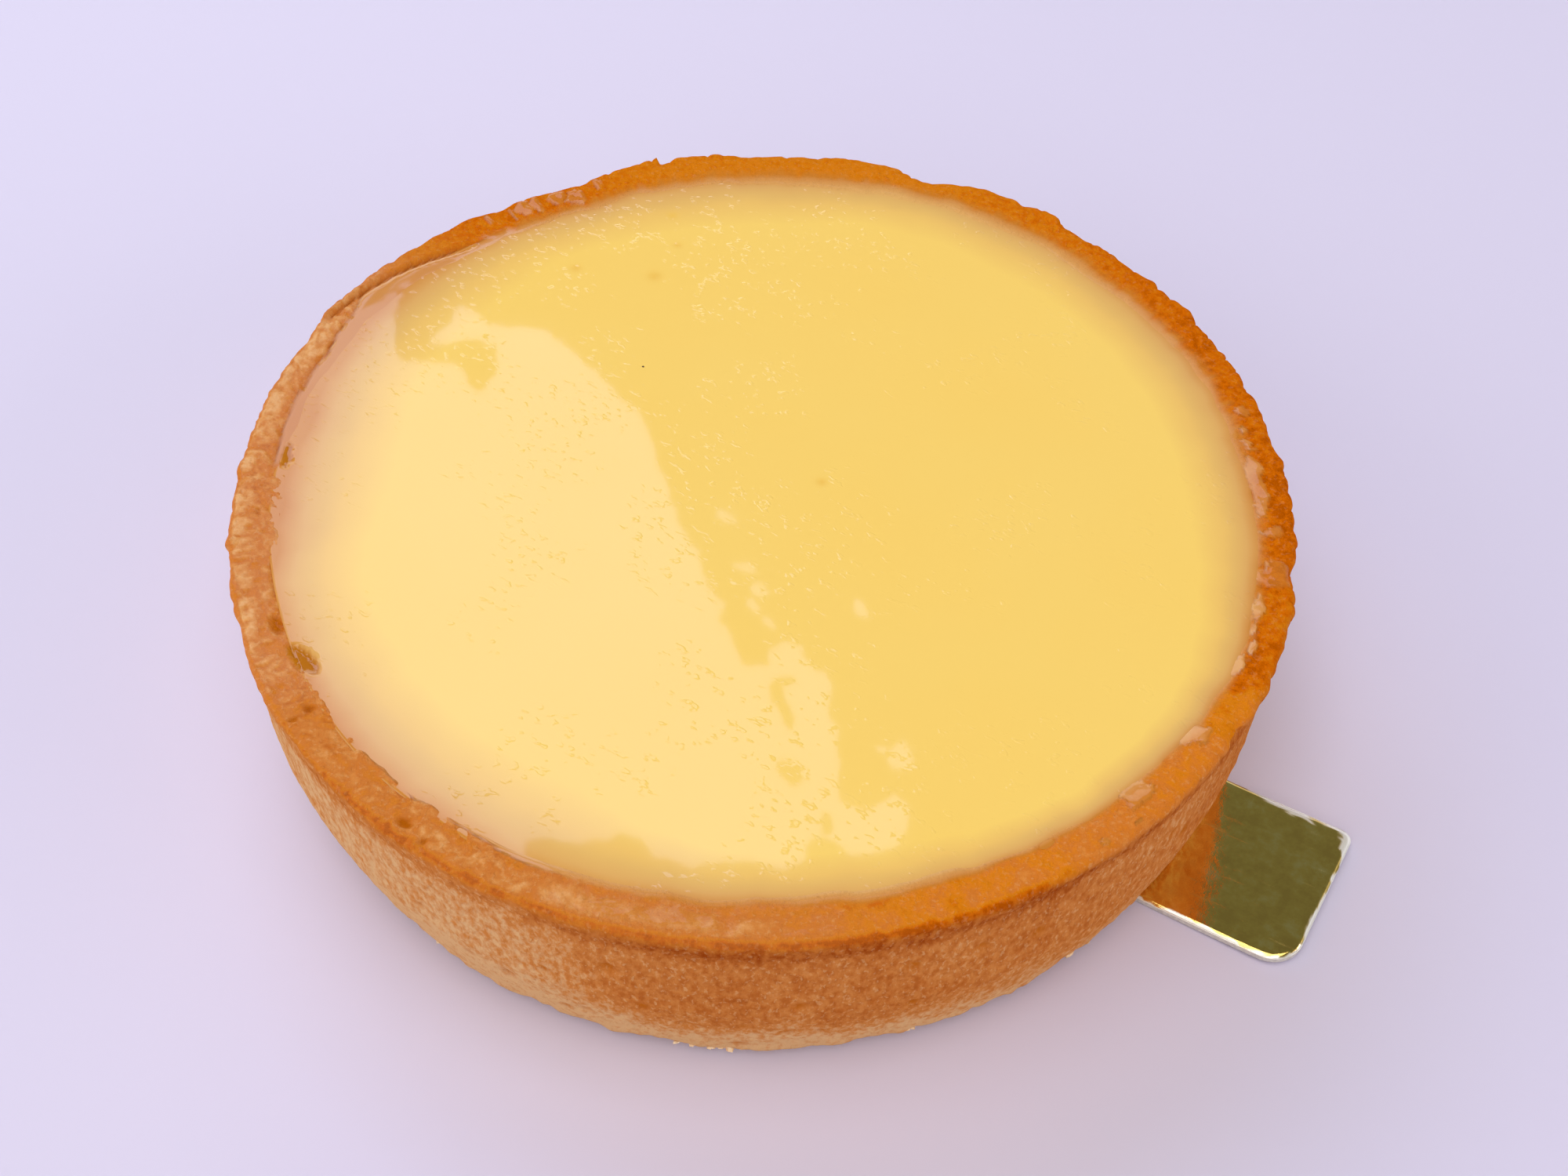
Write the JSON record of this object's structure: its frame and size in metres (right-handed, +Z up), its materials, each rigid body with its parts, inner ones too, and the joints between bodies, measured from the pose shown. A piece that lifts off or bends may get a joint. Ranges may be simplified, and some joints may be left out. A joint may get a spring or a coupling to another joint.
{
  "type": "lemon tart",
  "caption": "Single-portion lemon tart: a browned sweet-pastry shell filled to the brim with glazed lemon curd, on a gold card disc with a pull tab.",
  "frame": {"origin": "on the surface the part stands on, below the middle of the tart, in the underside of the card", "axes": "+X out along the card's pull tab, +Z up, +Y to the left of the tab seen from the middle of the tart"},
  "size_m": [0.0944, 0.085, 0.0207],
  "materials": {
    "pastry": "baked sweet shortcrust pastry, golden brown with a darker rim, dry and sandy on the side and glazed on top",
    "curd": "smooth set lemon curd under a clear wet-looking glaze",
    "gold_foil": "board covered with polished gold foil, with bright worn cut edges"
  },
  "bodies": {
    "root": {"pastry_shell": "pastry", "lemon_filling": "curd", "gold_card": "gold_foil"}
  },
  "joints": []
}
